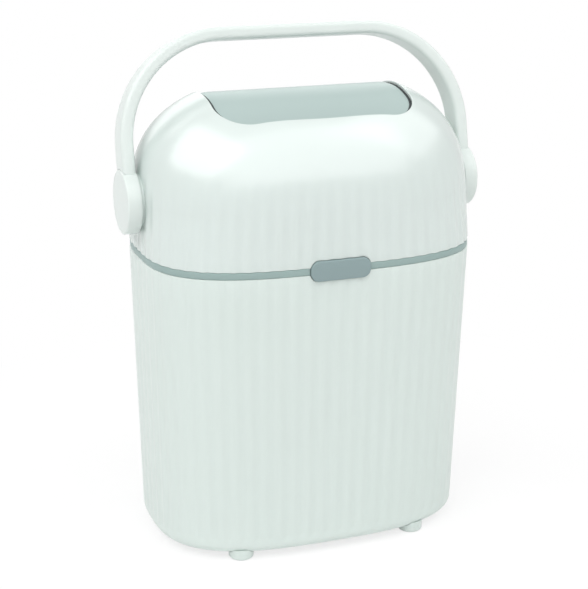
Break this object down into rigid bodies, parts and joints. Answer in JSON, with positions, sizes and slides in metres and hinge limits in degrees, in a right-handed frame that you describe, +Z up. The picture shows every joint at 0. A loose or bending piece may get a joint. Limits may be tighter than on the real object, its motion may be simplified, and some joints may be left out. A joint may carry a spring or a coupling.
{
  "type": "nappy bin",
  "caption": "Oval fluted nappy bin on feet with a domed hinged lid, a carrying handle that turns an inner drum, a grey rim band and a front release button.",
  "frame": {"origin": "on the floor under the middle of the bin", "axes": "+Z up, -Y towards the release button at the front, +X to the right seen from the front, along the handle axis"},
  "size_m": [0.3166, 0.205, 0.4416],
  "materials": {
    "body_plastic": "satin white with a cool tint",
    "lid_plastic": "satin white",
    "handle_plastic": "satin white",
    "trim_plastic": "grey-green, fine matt",
    "button_plastic": "grey-green, fine matt",
    "drum_plastic": "light grey-green, satin",
    "inner_plastic": "pale grey, as moulded",
    "bush_plastic": "pale, slippery",
    "soft_rubber": "dark, matt",
    "steel": "plain"
  },
  "bodies": {
    "base": {"body_shell": "body_plastic", "rim_ring": "trim_plastic", "rim_seal": "soft_rubber", "bag_ring": "inner_plastic", "hinge_pin": "steel", "latch_housing": "inner_plastic", "latch_screw_left": "steel", "latch_screw_right": "steel", "foot_front_left": "body_plastic", "foot_front_right": "body_plastic", "foot_rear_left": "body_plastic", "foot_rear_right": "body_plastic"},
    "button": {"release_button": "button_plastic", "latch_slide": "inner_plastic", "button_spring": "steel"},
    "lid": {"lid_shell": "lid_plastic", "opening_seal": "soft_rubber", "drum_housing": "inner_plastic", "drum_bush_left": "bush_plastic", "drum_bush_right": "bush_plastic", "lid_catch": "inner_plastic", "catch_screw_left": "steel", "catch_screw_right": "steel", "housing_screw_front_left": "steel", "housing_screw_front_right": "steel", "housing_screw_rear_left": "steel", "housing_screw_rear_right": "steel"},
    "drum": {"drum_shell": "drum_plastic", "drum_back": "drum_plastic", "drum_end_left": "drum_plastic", "drum_end_right": "drum_plastic", "handle": "handle_plastic", "hub_cover_left": "handle_plastic", "hub_cover_right": "handle_plastic", "hub_screw_left": "steel", "hub_screw_right": "steel"}
  },
  "joints": [
    {"name": "lid_hinge", "type": "hinge", "parent": "base", "child": "lid", "pos_m": [0, 0.1007, 0.25715], "axis": [-1, 0, 0], "range_deg": [0, 95]},
    {"name": "handle_turn", "type": "hinge", "parent": "lid", "child": "drum", "pos_m": [0, 0, 0.3028], "axis": [1, 0, 0], "range_deg": [-77.6, 102.4]},
    {"name": "button_press", "type": "slide", "parent": "base", "child": "button", "axis": [0, 1, 0], "range_m": [0, 0.0025], "stiffness_N_per_m": 400, "springref_m": -0.002, "deforming": ["button_spring"]}
  ]
}
